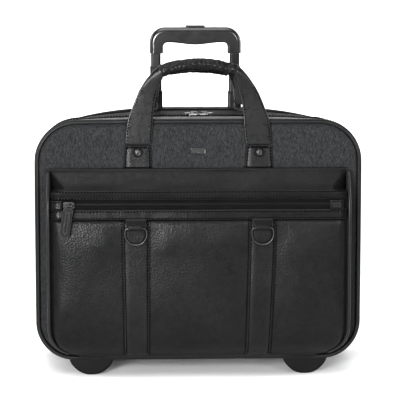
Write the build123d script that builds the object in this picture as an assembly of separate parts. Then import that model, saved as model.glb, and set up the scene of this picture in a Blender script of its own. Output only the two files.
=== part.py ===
from build123d import *
import math
import os

os.makedirs("parts", exist_ok=True)

# Rolling laptop case. Millimetres, +Z up, front faces -Y, X is left to right.
# The origin is on the floor, under the middle of the whole case's box.

# --- driving dimensions -------------------------------------------------------
WIDTH = 425.0
BODY_BOTTOM = 21.0
BODY_TOP = 338.5
TOP_RADIUS = 54.0
BOTTOM_RADIUS = 50.0
FRONT_Y = -60.0
REAR_Y = 90.0
CROWN_FRONT = 0.6
CROWN_REAR = 14.0
CLOTH = 2.5

OPENING_Z = 52.0
ZIP_Y = -14.0
ZIP_HALF = 6.0
PARTITION_Y = 57.0
BOARD = 3.0

POCKET_HALF = 196.0
POCKET_TOP = 275.6
POCKET_BOTTOM = 28.7
POCKET_FRONT = -94.0
POCKET_ZIP_LOW = 225.0
POCKET_ZIP_HIGH = 238.0
STRAP_X = 82.0
STRAP_WIDTH = 34.0

HANDLE_X = 79.0
HANDLE_BASE_WIDTH = 36.0
HANDLE_SEW_TOP = 305.0
HANDLE_GRIP_Z = 410.5
HANDLE_GRIP_RADIUS = 8.4
REAR_HANDLE_Y = 48.0
REAR_HANDLE_PIVOT_Z = 340.0
REAR_HANDLE_X = 67.0
REAR_GRIP_Z = 398.0

TROLLEY_X = 53.35
TROLLEY_Y = 76.0
OUTER_TUBE = (20.4, 16.0)
STAGE_A_TUBE = (18.0, 13.6)
STAGE_B_TUBE = (15.6, 11.2)
STAGE_C_TUBE = (13.2, 8.8)
TUBE_WALL = 1.0
SLIDE_GAP = 0.2
OUTER_TUBE_Z = (44.0, 334.0)
STAGE_A_Z = (77.0, 362.4)
STAGE_B_Z = (104.0, 396.4)
STAGE_C_Z = (119.0, 428.0)
COLLAR = 3.0
GRIP_TOP = 449.6
GRIP_LEG_Z = 414.7
GRIP_HALF = 61.8
GRIP_LEG = 18.3
GRIP_DEPTH = 26.0
BUTTON_WIDTH = 26.0
BUTTON_TOP = 452.0
PIN_Z = 127.0

WHEEL_RADIUS = 30.0
WHEEL_WIDTH = 24.0
WHEEL_X = 178.0
WHEEL_Y = 71.5
AXLE_RADIUS = 4.0
BEARING_RADIUS = 11.0
BEARING_WIDTH = 7.0
FOOT_X = 141.0
FOOT_RADIUS = 31.0
FOOT_Y = (-56.0, -34.0)

DRING_WIRE = 1.35
DRING_Y = -97.4
DRING_BAR_Z = 201.4
SLIDER_X = -168.0
SLIDER_Z = 231.5
PULL_PIVOT_Y = -98.9
PULL_TILT = 9.0
ZIP_MEET_X = 2.0


# --- small helpers --------------------------------------------------------------
def block(x0, x1, y0, y1, z0, z1):
    """A box between two corners."""
    centre = Pos((x0 + x1) / 2, (y0 + y1) / 2, (z0 + z1) / 2)
    return centre * Box(abs(x1 - x0), abs(y1 - y0), abs(z1 - z0))


def rod_x(radius, x0, x1, y, z):
    """A cylinder along X."""
    return Pos((x0 + x1) / 2, y, z) * Rot(0, 90, 0) * Cylinder(radius, abs(x1 - x0))


def rod_y(radius, y0, y1, x, z):
    """A cylinder along Y."""
    return Pos(x, (y0 + y1) / 2, z) * Rot(90, 0, 0) * Cylinder(radius, abs(y1 - y0))


def rod_z(radius, z0, z1, x, y):
    """A cylinder along Z."""
    return Pos(x, y, (z0 + z1) / 2) * Cylinder(radius, abs(z1 - z0))


def mirrored(shape):
    """The same shape on the other side of the X = 0 plane."""
    return mirror(shape, about=Plane.YZ)


def save(name, *shapes):
    """Write one node, as one solid or a group of separate solids."""
    solids = [solid for shape in shapes for solid in shape.solids()]
    shape = solids[0] if len(solids) == 1 else Compound(children=solids)
    export_step(shape, f"parts/{name}.step")


def upright(points, y0, y1):
    """A polygon drawn in the XZ plane, made solid from y0 to y1."""
    outline = Polyline(*[(x, y0, z) for x, z in points], close=True)
    return extrude(make_face(outline), amount=y1 - y0, dir=(0, 1, 0))


# --- case outline ---------------------------------------------------------------
def crown_at(y):
    """How far the top edge falls from its middle to its corners at this depth."""
    share = (y - FRONT_Y) / (REAR_Y - FRONT_Y)
    return CROWN_FRONT + (CROWN_REAR - CROWN_FRONT) * share


def case_outline(y, inset):
    """The case's outline across the depth y, moved in by inset."""
    half = WIDTH / 2 - inset
    low = BODY_BOTTOM + inset
    high = BODY_TOP - inset
    shoulder = high - crown_at(y)
    top_r = TOP_RADIUS - inset
    bottom_r = BOTTOM_RADIUS - inset
    top_x = half - top_r
    bottom_x = half - bottom_r
    corner = math.sin(math.radians(45))

    def arc(centre_x, centre_z, radius, start, end, sx, sz):
        middle = (centre_x + sx * corner * radius, y, centre_z + sz * corner * radius)
        return ThreePointArc(start, middle, end)

    p = [
        (-top_x, y, shoulder), (top_x, y, shoulder),
        (half, y, shoulder - top_r), (half, y, low + bottom_r),
        (bottom_x, y, low), (-bottom_x, y, low),
        (-half, y, low + bottom_r), (-half, y, shoulder - top_r),
    ]
    edges = [
        ThreePointArc(p[0], (0, y, high), p[1]),
        arc(top_x, shoulder - top_r, top_r, p[1], p[2], 1, 1),
        Line(p[2], p[3]),
        arc(bottom_x, low + bottom_r, bottom_r, p[3], p[4], 1, -1),
        Line(p[4], p[5]),
        arc(-bottom_x, low + bottom_r, bottom_r, p[5], p[6], -1, -1),
        Line(p[6], p[7]),
        arc(-top_x, shoulder - top_r, top_r, p[7], p[0], -1, 1),
    ]
    return Wire([edge.edge() for edge in edges])


def slab(y0, y1, inset=0.0):
    """A full slice of the case between two depths."""
    return Solid.make_loft([case_outline(y0, inset), case_outline(y1, inset)], True)


def band(y0, y1, inset=0.0, thickness=CLOTH):
    """A ring of the case's wall between two depths."""
    return slab(y0, y1, inset) - slab(y0, y1, inset + thickness)


ABOVE_OPENING = block(-300, 300, -200, 200, OPENING_Z, 400)
BELOW_OPENING = block(-300, 300, -200, 200, 0, OPENING_Z - 2)
HOUSING_X = (158.0, WIDTH / 2)
HOUSING_Y = (35.0, 93.0)
HOUSING_TOP = 76.0
HOUSING_ROOM = block(
    HOUSING_X[0] - 0.3, 220, HOUSING_Y[0] - 0.3, 110, 0, HOUSING_TOP + 0.3
)
BOTH_HOUSING_ROOMS = [HOUSING_ROOM, mirrored(HOUSING_ROOM)]
FOOT_SCREWS = [(side * FOOT_X + step, -45.0) for side in (-1, 1) for step in (-13, 13)]


# --- case shell -----------------------------------------------------------------
def make_case_shell():
    screw_holes = [rod_z(2.0, 5, 40, x, y) for x, y in FOOT_SCREWS]
    tub = band(ZIP_Y + ZIP_HALF, PARTITION_Y)
    chin = band(-54.0, ZIP_Y + ZIP_HALF) & BELOW_OPENING
    save("case_gusset", (tub + chin) - BOTH_HOUSING_ROOMS - screw_holes)

    board = slab(PARTITION_Y, PARTITION_Y + BOARD) - BOTH_HOUSING_ROOMS
    save("back_board", board)

    rear = band(PARTITION_Y + BOARD, REAR_Y - BOARD) - BOTH_HOUSING_ROOMS
    save("rear_gusset", rear - block(-70, 70, 64, 85, 330, 345))
    save("rear_cover", slab(REAR_Y - BOARD, REAR_Y) - BOTH_HOUSING_ROOMS)

    base = block(-157, 157, -52, PARTITION_Y, BODY_BOTTOM + CLOTH, BODY_BOTTOM + CLOTH + BOARD)
    save("base_board", base - screw_holes)

    zipper = band(ZIP_Y + 0.25, ZIP_Y + ZIP_HALF, 0.4, 1.4) & ABOVE_OPENING
    save("main_zip_rear", zipper)


def make_laptop_divider():
    pad = block(-182, 182, 18, 25, 28, 280)
    pad = fillet(pad.edges().filter_by(Axis.Y), 30)
    pad = pad - [block(150, 190, 10, 40, 0, 80), block(-190, -150, 10, 40, 0, 80)]
    save("laptop_divider", pad)


# --- feet and wheels --------------------------------------------------------------
def make_feet():
    feet = []
    screws = []
    for side in (-1, 1):
        disc = rod_y(FOOT_RADIUS, FOOT_Y[0], FOOT_Y[1], side * FOOT_X, FOOT_RADIUS - 0.6)
        disc = fillet(disc.faces().sort_by(Axis.Y)[0].edges(), 3.0)
        feet.append(disc & block(-300, 300, -80, 0, 0, BODY_BOTTOM))
    board_top = BODY_BOTTOM + CLOTH + BOARD
    for x, y in FOOT_SCREWS:
        screws.append(rod_z(1.9, 10, board_top, x, y) + rod_z(4.0, board_top, board_top + 2.4, x, y))
    holes = [rod_z(2.0, 9, BODY_BOTTOM + 1, x, y) for x, y in FOOT_SCREWS]
    save("front_feet", *[foot - holes for foot in feet])
    save("foot_screws", *screws)


def make_wheel_set(side, word):
    """Housing, axle, bearings, hub and tyre of one rear corner."""
    housing = block(*HOUSING_X, *HOUSING_Y, BODY_BOTTOM, HOUSING_TOP)
    outer_edges = housing.edges().filter_by(Axis.Y).group_by(Axis.X)[-1].sort_by(Axis.Z)
    housing = fillet(outer_edges[0], 24)
    rear_rim = housing.faces().sort_by(Axis.Y)[-1].edges()
    housing = fillet(rear_rim, 2.5)
    well = WHEEL_WIDTH / 2 + 1.5
    housing -= rod_x(WHEEL_RADIUS + 2.5, WHEEL_X - well, WHEEL_X + well, WHEEL_Y, WHEEL_RADIUS)
    housing -= rod_x(AXLE_RADIUS, 150, 230, WHEEL_Y, WHEEL_RADIUS)
    housing -= rod_x(8.0, 197, 230, WHEEL_Y, WHEEL_RADIUS)
    hollow = block(HOUSING_X[0] + 40, HOUSING_X[1] - 3, HOUSING_Y[0] + 3, 58, 45, HOUSING_TOP - 3)
    housing -= hollow
    screw_spots = [(204.0, 66.0), (166.0, 70.0)]
    screws = []
    for x, z in screw_spots:
        shank = rod_y(1.8, 81, HOUSING_Y[1], x, z)
        head = rod_y(3.6, HOUSING_Y[1], HOUSING_Y[1] + 1.8, x, z)
        head -= Pos(x, HOUSING_Y[1] + 1.4, z) * Box(5, 1.2, 1)
        head -= Pos(x, HOUSING_Y[1] + 1.4, z) * Box(1, 1.2, 5)
        screws.append(shank + head)
        housing -= rod_y(1.8, 81, HOUSING_Y[1] + 1, x, z)

    axle = rod_x(AXLE_RADIUS - 0.02, HOUSING_X[0] - 3, 197, WHEEL_Y, WHEEL_RADIUS)
    axle += rod_x(6.5, 197, 200, WHEEL_Y, WHEEL_RADIUS)
    axle -= rod_x(2.5, 198.5, 201, WHEEL_Y, WHEEL_RADIUS)

    half = WHEEL_WIDTH / 2
    bearings = []
    for end in (-1, 1):
        face = WHEEL_X + end * (half - 0.5)
        ring = rod_x(BEARING_RADIUS, face, face - end * BEARING_WIDTH, WHEEL_Y, WHEEL_RADIUS)
        ring -= rod_x(AXLE_RADIUS + 0.03, 150, 210, WHEEL_Y, WHEEL_RADIUS)
        groove = rod_x(8.6, face, face - end * 0.8, WHEEL_Y, WHEEL_RADIUS)
        groove -= rod_x(6.4, 150, 210, WHEEL_Y, WHEEL_RADIUS)
        bearings.append(ring - groove)

    hub = rod_x(22.0, WHEEL_X - half + 0.5, WHEEL_X + half - 0.5, WHEEL_Y, WHEEL_RADIUS)
    for end in (-1, 1):
        face = WHEEL_X + end * half
        hub -= rod_x(BEARING_RADIUS, face, face - end * (BEARING_WIDTH + 0.5), WHEEL_Y, WHEEL_RADIUS)
        dish = rod_x(19.5, face, face - end * 5, WHEEL_Y, WHEEL_RADIUS)
        dish -= rod_x(13.5, 150, 210, WHEEL_Y, WHEEL_RADIUS)
        hub -= dish
    hub -= rod_x(6.0, 150, 210, WHEEL_Y, WHEEL_RADIUS)
    for turn in range(6):
        angle = math.radians(turn * 60)
        y = WHEEL_Y + 16.5 * math.cos(angle)
        z = WHEEL_RADIUS + 16.5 * math.sin(angle)
        hub -= rod_x(2.4, 150, 210, y, z)

    tyre = rod_x(WHEEL_RADIUS, WHEEL_X - half, WHEEL_X + half, WHEEL_Y, WHEEL_RADIUS)
    tyre = fillet(tyre.edges(), 6.0)
    tyre -= rod_x(22.0, 150, 210, WHEEL_Y, WHEEL_RADIUS)

    named = {"wheel_housing": housing, "tyre": tyre, "hub": hub}
    for name, shape in named.items():
        save(f"{name}_{word}", shape if side > 0 else mirrored(shape))
    save(f"bearings_{word}", *[ring if side > 0 else mirrored(ring) for ring in bearings])
    fixings = [axle] + screws
    return [shape if side > 0 else mirrored(shape) for shape in fixings]


def make_wheels():
    right = make_wheel_set(1, "right")
    left = make_wheel_set(-1, "left")
    save("wheel_axles", right[0], left[0])
    save("housing_screws", *right[1:], *left[1:])


# --- trolley --------------------------------------------------------------------
def tube(section, z0, z1, x, wall=TUBE_WALL):
    """A rounded rectangular tube standing at one side of the trolley."""
    wide, deep = section
    outer = extrude(RectangleRounded(wide, deep, 3.0), z1 - z0)
    inner = extrude(RectangleRounded(wide - 2 * wall, deep - 2 * wall, 2.0), z1 - z0)
    return Pos(x, TROLLEY_Y, z0) * (outer - inner)


def plug(section, z0, z1, x):
    """A solid rounded rectangular bar in the place of a tube."""
    wide, deep = section
    return Pos(x, TROLLEY_Y, z0) * extrude(RectangleRounded(wide, deep, 3.0), z1 - z0)


def collar(section, hole, z0, z1, x):
    """The plastic bush on a stage's top end, which guides the stage inside it."""
    gap = 2 * SLIDE_GAP
    ring = plug(section, z0, z1, x) - plug((hole[0] + gap, hole[1] + gap), z0 - 1, z1 + 1, x)
    return ring


def make_trolley_frame():
    sides = (-TROLLEY_X, TROLLEY_X)
    save("trolley_outer_tubes", *[tube(OUTER_TUBE, *OUTER_TUBE_Z, x) for x in sides])

    bezel = block(-69.5, 69.5, 64.5, 84.5, OUTER_TUBE_Z[1], BODY_TOP + 0.2)
    lip = block(-73, 73, 62.5, 86.5, BODY_TOP + 0.2, BODY_TOP + 1.8)
    bezel += fillet(lip.edges().filter_by(Axis.Z), 5)
    guide = (STAGE_A_TUBE[0] + 2 * SLIDE_GAP, STAGE_A_TUBE[1] + 2 * SLIDE_GAP)
    bezel -= [plug(guide, 320, 350, x) for x in sides]
    bezel -= block(-35, 35, 67, 82, 325, BODY_TOP)
    save("trolley_bezel", bezel)

    foot = block(-78, 78, 64, 86, BODY_BOTTOM + CLOTH, OUTER_TUBE_Z[0] + 14)
    foot -= [plug(OUTER_TUBE, OUTER_TUBE_Z[0], 70, x) for x in sides]
    foot -= block(-36, 36, 60, 90, BODY_BOTTOM + CLOTH + 4, 70)
    save("trolley_bottom_bracket", foot)


def make_trolley_stages():
    sides = (-TROLLEY_X, TROLLEY_X)
    low, high = STAGE_A_Z
    save("stage_a_tubes", *[tube(STAGE_A_TUBE, low, high - COLLAR, x) for x in sides])
    save("stage_a_collars", *[collar(STAGE_A_TUBE, STAGE_B_TUBE, high - COLLAR, high, x) for x in sides])
    low, high = STAGE_B_Z
    save("stage_b_tubes", *[tube(STAGE_B_TUBE, low, high - COLLAR, x) for x in sides])
    save("stage_b_collars", *[collar(STAGE_B_TUBE, STAGE_C_TUBE, high - COLLAR, high, x) for x in sides])

    tubes = []
    blocks = []
    for x in sides:
        out = 1 if x > 0 else -1
        pin_hole = rod_x(2.2, x, x + out * 8, TROLLEY_Y, PIN_Z)
        tubes.append(tube(STAGE_C_TUBE, *STAGE_C_Z, x) - pin_hole)
        insert = (STAGE_C_TUBE[0] - 2 * TUBE_WALL, STAGE_C_TUBE[1] - 2 * TUBE_WALL)
        lock = Pos(x, TROLLEY_Y, STAGE_C_Z[0]) * extrude(RectangleRounded(*insert, 2.0), 16)
        lock -= rod_x(2.2, x - out * 2, x + out * 8, TROLLEY_Y, PIN_Z)
        blocks.append(lock - rod_z(2.3, PIN_Z, PIN_Z + 20, x, TROLLEY_Y))
        pin = rod_x(2.0, x + out * 1.2, x + out * 6.45, TROLLEY_Y, PIN_Z)
        save("lock_pin_right" if out > 0 else "lock_pin_left", pin)
    save("stage_c_tubes", *tubes)
    save("lock_blocks", *blocks)


def grip_body():
    """The pull grip: two legs and a bar whose underside bellies down."""
    inner = GRIP_HALF - GRIP_LEG
    front = TROLLEY_Y - GRIP_DEPTH / 2
    shell = block(-GRIP_HALF, GRIP_HALF, front, front + GRIP_DEPTH, GRIP_LEG_Z, GRIP_TOP)
    shell = fillet(shell.edges().filter_by(Axis.Y).group_by(Axis.Z)[-1], 21.0)
    side_faces = shell.faces().sort_by(Axis.Y)
    rims = side_faces[0].edges() + side_faces[-1].edges()
    shell = fillet(rims.filter_by(lambda edge: edge.center().Z > GRIP_LEG_Z + 1), 6.0)
    under = 429.4
    belly = 426.3
    turn = 6.0
    low = (inner, front - 1, GRIP_LEG_Z - 10)
    corner = (inner, front - 1, under - turn)
    inset = turn * (1 - math.cos(math.radians(45)))
    middle = (inner - inset, front - 1, under - inset)
    top = (inner - turn, front - 1, under)
    right = [Line(low, corner), ThreePointArc(corner, middle, top)]
    left = [mirror(edge, about=Plane.YZ) for edge in right]
    level = ((-1, 0, 0), (-1, 0, 0))
    span = Spline(top, (0, front - 1, belly), (turn - inner, front - 1, under), tangents=level)
    base = Line(low, (-inner, front - 1, GRIP_LEG_Z - 10))
    outline = Wire([edge.edge() for edge in right + left + [span, base]])
    shell -= extrude(make_face(outline), amount=GRIP_DEPTH + 2, dir=(0, 1, 0))
    side_faces = shell.faces().sort_by(Axis.Y)
    rims = side_faces[0].edges() + side_faces[-1].edges()
    soft = rims.filter_by(
        lambda edge: abs(edge.center().X) <= inner + 0.1 and edge.center().Z < under + 0.1
    )
    return fillet(soft, 2.5)


def make_grip():
    grip = grip_body()
    grip -= [plug(STAGE_C_TUBE, GRIP_LEG_Z - 5, STAGE_C_Z[1], x) for x in (-TROLLEY_X, TROLLEY_X)]
    grip -= [rod_z(3.0, 420, 436, x, TROLLEY_Y) for x in (-TROLLEY_X, TROLLEY_X)]
    grip -= block(-57, 57, TROLLEY_Y - 6, TROLLEY_Y + 6, 431, 440)
    grip -= block(-40, 40, TROLLEY_Y - 6, TROLLEY_Y + 6, 431, 444)
    slot = BUTTON_WIDTH / 2 + 0.25
    grip -= block(-slot, slot, TROLLEY_Y - 6.25, TROLLEY_Y + 6.25, 440, 460)
    front_half = block(-80, 80, 50, TROLLEY_Y, 400, 470)
    rear_half = block(-80, 80, TROLLEY_Y, 100, 400, 470)
    save("grip_front_shell", grip & front_half)
    save("grip_rear_shell", grip & rear_half)

    half = BUTTON_WIDTH / 2
    button = block(-half, half, TROLLEY_Y - 6, TROLLEY_Y + 6, 439, BUTTON_TOP)
    button = fillet(button.edges().filter_by(Axis.Z), 2.5)
    button = fillet(button.faces().sort_by(Axis.Z)[-1].edges(), 1.2)
    save("release_button", button)

    rods = block(-56, 56, TROLLEY_Y - 3.5, TROLLEY_Y + 3.5, 435, 439)
    rods += [rod_z(2.0, PIN_Z + 6, 436, x, TROLLEY_Y) for x in (-TROLLEY_X, TROLLEY_X)]
    save("push_rods", rods)


# --- front section ----------------------------------------------------------------
def make_front_shell():
    save("front_panel", slab(FRONT_Y, FRONT_Y + 4))
    gusset = band(FRONT_Y + 4, ZIP_Y - ZIP_HALF) & ABOVE_OPENING
    save("front_gusset", gusset)
    zipper = band(ZIP_Y - ZIP_HALF, ZIP_Y - 0.25, 0.4, 1.4) & ABOVE_OPENING
    save("main_zip_front", zipper)


def pocket_solid(inset):
    """The pocket's full volume, moved in by inset on every side but the back."""
    profile = [
        (FRONT_Y, POCKET_TOP - inset), (FRONT_Y - 4.5, POCKET_TOP - inset),
        (-84 + inset, 249), (-90 + inset, POCKET_ZIP_HIGH), (-92 + inset, POCKET_ZIP_LOW),
        (-93.5 + inset, 211), (POCKET_FRONT + inset, 190), (POCKET_FRONT + inset, 90),
        (-90 + inset, 55), (-80 + inset, 37), (-66, POCKET_BOTTOM + inset),
        (FRONT_Y, POCKET_BOTTOM + inset),
    ]
    half = POCKET_HALF - inset
    edge = Polyline(*[(-half, y, z) for y, z in profile], close=True)
    body = extrude(make_face(edge), amount=2 * half, dir=(1, 0, 0))
    frame = block(-half, half, -120, FRONT_Y, POCKET_BOTTOM + inset, POCKET_TOP + 5)
    low_edges = frame.edges().filter_by(Axis.Y).group_by(Axis.Z)[0]
    return body & fillet(low_edges, 40 - inset)


def make_pocket():
    shell = pocket_solid(0) - pocket_solid(2.0)
    side = block(-300, 300, -82, -50, 0, POCKET_ZIP_LOW)
    front = block(-300, 300, -120, -82, 0, POCKET_ZIP_LOW)
    save("pocket_gusset", shell & side)
    save("pocket_front_panel", shell & front)
    save("pocket_top_band", shell & block(-300, 300, -120, -50, POCKET_ZIP_HIGH, 300))
    save("pocket_zip_tape", shell & block(-300, 300, -120, -50, POCKET_ZIP_LOW, POCKET_ZIP_HIGH))

    straps = []
    loops = []
    for side_x in (-STRAP_X, STRAP_X):
        half = STRAP_WIDTH / 2
        strap = block(side_x - half, side_x + half, POCKET_FRONT - 1.8, POCKET_FRONT, 92, 188)
        straps.append(strap)
        loop = block(side_x - 9, side_x + 9, DRING_Y, -94.3, DRING_BAR_Z - 2.3, DRING_BAR_Z + 8)
        loop += rod_x(2.15, side_x - 9, side_x + 9, DRING_Y, DRING_BAR_Z)
        loops.append(loop - rod_x(DRING_WIRE + 0.1, side_x - 20, side_x + 20, DRING_Y, DRING_BAR_Z))
    save("pocket_straps", *straps)
    save("dring_loops", *loops)

    tabs = []
    for x0, x1 in ((-193, -176.5), (169, 187)):
        tabs.append(block(x0, x1, -95.2, -92.2, POCKET_ZIP_LOW, POCKET_ZIP_HIGH - 1))
    save("pocket_zip_end_tabs", *tabs)


def ring(width, height, top_corner, bottom_corner, x, y, z):
    """A closed wire ring hanging from its straight top bar, whose middle is at z."""
    half = width / 2
    corners = [(x - half, y, z), (x + half, y, z), (x + half, y, z - height), (x - half, y, z - height)]
    radii = [top_corner, top_corner, bottom_corner, bottom_corner]
    path = FilletPolyline(*corners, radius=radii, close=True)
    start = Plane(origin=path @ 0, z_dir=path % 0)
    return sweep(start * Circle(DRING_WIRE), path=path)


def make_rings():
    for side_x, word in ((-STRAP_X, "left"), (STRAP_X, "right")):
        save(f"dring_{word}", ring(28.0, 21.5, 4.0, 13.9, side_x, DRING_Y, DRING_BAR_Z))


# --- carry handles ------------------------------------------------------------------
# Up the strap: share of its height, outer edge, inner edge, both in half widths.
STRAP_EDGES = [
    (0.00, 1.00, -1.00), (0.21, 0.96, -1.03), (0.40, 0.64, -1.08), (0.60, 0.28, -1.18),
    (0.70, -0.09, -1.25), (0.78, -0.46, -1.33), (0.88, -0.89, -1.42), (0.98, -1.30, -1.60),
]


def strap_outline(side, base_x, base_half, z0, z1):
    """A handle's strap seen from the front: wide at the seam, turning in to the grip."""
    up = [(base_x + outer * base_half, z0 + share * (z1 - z0)) for share, outer, _ in STRAP_EDGES]
    down = [(base_x + inner * base_half, z0 + share * (z1 - z0)) for share, _, inner in STRAP_EDGES]
    return [(side * x, z) for x, z in up + down[::-1]]


def make_front_handle():
    bases = []
    rivets = []
    straps = []
    grip = rod_x(HANDLE_GRIP_RADIUS, -50, 50, -62, HANDLE_GRIP_Z)
    grip = fillet(grip.edges(), 4)
    half = HANDLE_BASE_WIDTH / 2
    for side in (-1, 1):
        x = side * HANDLE_X
        bases.append(block(x - half, x + half, FRONT_Y - 3.5, FRONT_Y, POCKET_TOP + 0.4, HANDLE_SEW_TOP))
        rivet = rod_y(6.2, FRONT_Y - 4.6, FRONT_Y - 3.5, x, 296)
        cap = fillet(rod_y(4.8, FRONT_Y - 6.0, FRONT_Y - 4.6, x, 296).edges().sort_by(Axis.Y)[0], 1.0)
        rivets.append(rivet + cap)
        outline = strap_outline(side, HANDLE_X, half, HANDLE_SEW_TOP + 3.2, HANDLE_GRIP_Z)
        straps.append(upright(outline, FRONT_Y - 3.8, FRONT_Y - 0.4) - grip)
    save("front_handle_bases", *bases)
    save("handle_rivets", *rivets)
    save("front_handle_straps", *straps)
    save("front_handle_grip", grip)


def make_rear_handle():
    y = REAR_HANDLE_Y
    z = REAR_HANDLE_PIVOT_Z
    grip = fillet(rod_x(HANDLE_GRIP_RADIUS, -45, 45, y, REAR_GRIP_Z).edges(), 4)
    tabs = []
    rings = []
    straps = []
    for side in (-1, 1):
        x = side * REAR_HANDLE_X
        tab = block(x - 12, x + 12, y - 16, y, z - 2.4, z)
        tab += rod_x(2.6, x - 12, x + 12, y, z)
        tab -= rod_x(DRING_WIRE + 0.15, x - 20, x + 20, y, z)
        tabs.append(tab)
        rings.append(ring(30.0, 9.5, 3.0, 3.0, x, y, z + 9.5))
        outline = strap_outline(side, REAR_HANDLE_X, 12.5, z + 9.5, REAR_GRIP_Z)
        strap = upright(outline, y - 1.7, y + 1.7) + rod_x(2.9, x - 12.5, x + 12.5, y, z + 9.5)
        strap -= grip
        straps.append(strap - rod_x(DRING_WIRE + 0.05, x - 20, x + 20, y, z + 9.5))
    save("rear_handle_tabs", *tabs)
    save("rear_handle_rings", *rings)
    save("rear_handle_straps", *straps)
    save("rear_handle_grip", grip)


# --- zipper sliders ------------------------------------------------------------------
def slider_body(length, width, height):
    """A slider lying along X on the XY plane, with its bridge on top."""
    plate_top = 2.2
    plate = extrude(RectangleRounded(length, width, 2.0), plate_top)
    plate = fillet(plate.faces().sort_by(Axis.Z)[-1].edges(), 0.8)
    span = 0.7 * length
    bridge = Pos(0, 0, (plate_top + height) / 2) * Box(span, 2.0, height - plate_top)
    bridge = fillet(bridge.edges().filter_by(Axis.Y).group_by(Axis.Z)[-1], 1.6)
    window = Pos(0, 0, (plate_top + height - 1.0) / 2) * Box(span - 2.4, 5.0, height - 1.0 - plate_top)
    return plate + (bridge - window)


def make_pocket_slider():
    slider = slider_body(15.0, 9.0, 7.1)
    save("pocket_slider", Pos(SLIDER_X, -92.3, SLIDER_Z) * Rot(90, 0, 0) * slider)

    link = rod_x(2.55, -1.2, 1.2, 0, 0) - rod_x(1.45, -2, 2, 0, 0)
    tab = Pos(0, -1.0, -21.5) * Rot(90, 0, 0) * extrude(RectangleRounded(13.0, 39.0, 4.0), 1.6)
    pull = Pos(SLIDER_X, PULL_PIVOT_Y, SLIDER_Z) * Rot(0, PULL_TILT, 0) * (link + tab)
    save("pocket_pull", pull)


def make_main_sliders():
    level = BODY_TOP + 0.3
    for side, word in ((-1, "left"), (1, "right")):
        x = ZIP_MEET_X + side * 7.0
        save(f"main_slider_{word}", Pos(x, ZIP_Y, level) * slider_body(12.0, 8.0, 5.6))
        pivot = x + side * 1.8
        z = level + 3.4
        near, far = sorted((pivot + side * 4.0, pivot + side * 10.0))
        pull = block(near, far, ZIP_Y - 3, ZIP_Y + 3, z - 0.6, z + 0.6)
        pull = fillet(pull.edges().filter_by(Axis.Z), 1.8)
        pull -= rod_z(1.1, z - 2, z + 2, pivot + side * 7.6, ZIP_Y)
        pull += rod_y(0.7, ZIP_Y - 2.6, ZIP_Y + 2.6, pivot, z)
        for cheek in (ZIP_Y - 2.0, ZIP_Y + 2.0):
            pull += block(pivot, pivot + side * 5.0, cheek - 0.6, cheek + 0.6, z - 0.6, z + 0.6)
        save(f"main_pull_{word}", pull)


make_case_shell()
make_laptop_divider()
make_feet()
make_wheels()
make_trolley_frame()
make_trolley_stages()
make_grip()
make_front_shell()
make_pocket()
make_rings()
make_front_handle()
make_rear_handle()
make_pocket_slider()
make_main_sliders()
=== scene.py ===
import math

import bmesh
import bpy
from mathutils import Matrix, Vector, noise
from mathutils.bvhtree import BVHTree


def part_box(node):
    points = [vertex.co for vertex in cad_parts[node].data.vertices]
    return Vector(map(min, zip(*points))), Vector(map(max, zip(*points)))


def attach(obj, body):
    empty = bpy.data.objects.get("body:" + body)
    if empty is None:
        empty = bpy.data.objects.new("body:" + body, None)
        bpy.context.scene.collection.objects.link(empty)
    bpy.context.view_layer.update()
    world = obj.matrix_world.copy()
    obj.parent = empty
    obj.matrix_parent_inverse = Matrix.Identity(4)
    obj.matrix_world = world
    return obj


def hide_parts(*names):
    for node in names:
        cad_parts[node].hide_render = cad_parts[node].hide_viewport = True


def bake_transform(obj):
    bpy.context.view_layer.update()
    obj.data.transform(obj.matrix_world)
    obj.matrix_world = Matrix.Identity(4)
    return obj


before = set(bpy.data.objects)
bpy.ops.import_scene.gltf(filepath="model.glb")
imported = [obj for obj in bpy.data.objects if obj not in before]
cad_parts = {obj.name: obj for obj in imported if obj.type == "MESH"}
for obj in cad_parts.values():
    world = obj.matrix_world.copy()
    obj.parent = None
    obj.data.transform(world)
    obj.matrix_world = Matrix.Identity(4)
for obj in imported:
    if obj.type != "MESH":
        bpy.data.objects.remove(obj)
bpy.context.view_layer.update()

MM = 0.001
FORWARD = Vector((0, -1, 0))

# --- sizes of the soft pieces ---------------------------------------------------------
TOP_RADIUS = 54 * MM
BOTTOM_RADIUS = 50 * MM
CROWN_FRONT = 0.6 * MM
CROWN_REAR = 14 * MM
CLOTH = 2.5 * MM
STRAP_WIDTH = 34 * MM
BASE_WIDTH = 36 * MM
CHIN_Y = -51.5 * MM
POCKET_CORNER = 40 * MM
PLACKET_BOTTOM = 212 * MM
PANEL_TOP = 213.5 * MM
BAND_BOTTOM = 238.5 * MM
PLACKET_TOP = 249.4 * MM

# --- places and sizes taken from the frame ------------------------------------------
PANEL_LOW, PANEL_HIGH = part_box("front_panel")
HALF = PANEL_HIGH.x
BOTTOM = PANEL_LOW.z
TOP = PANEL_HIGH.z
MIDDLE_Z = (TOP + BOTTOM) / 2
FRONT_Y = PANEL_LOW.y
REAR_LOW, REAR_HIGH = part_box("rear_cover")
REAR_Y = REAR_HIGH.y
GUSSET_LOW, GUSSET_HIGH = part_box("front_gusset")
OPENING_Z = GUSSET_LOW.z
ZIP_FRONT_LOW, ZIP_FRONT_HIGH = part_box("main_zip_front")
ZIP_REAR_LOW, ZIP_REAR_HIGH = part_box("main_zip_rear")
BOARD_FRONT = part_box("back_board")[0].y + 1 * MM
POCKET_LOW, POCKET_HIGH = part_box("pocket_gusset")
POCKET_HALF = POCKET_HIGH.x
POCKET_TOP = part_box("pocket_top_band")[1].z
POCKET_BOTTOM = POCKET_LOW.z
POCKET_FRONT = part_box("pocket_front_panel")[0].y
SLOT_LOW, SLOT_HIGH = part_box("pocket_zip_tape")
STRAP_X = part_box("pocket_straps")[1].x - STRAP_WIDTH / 2
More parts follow.
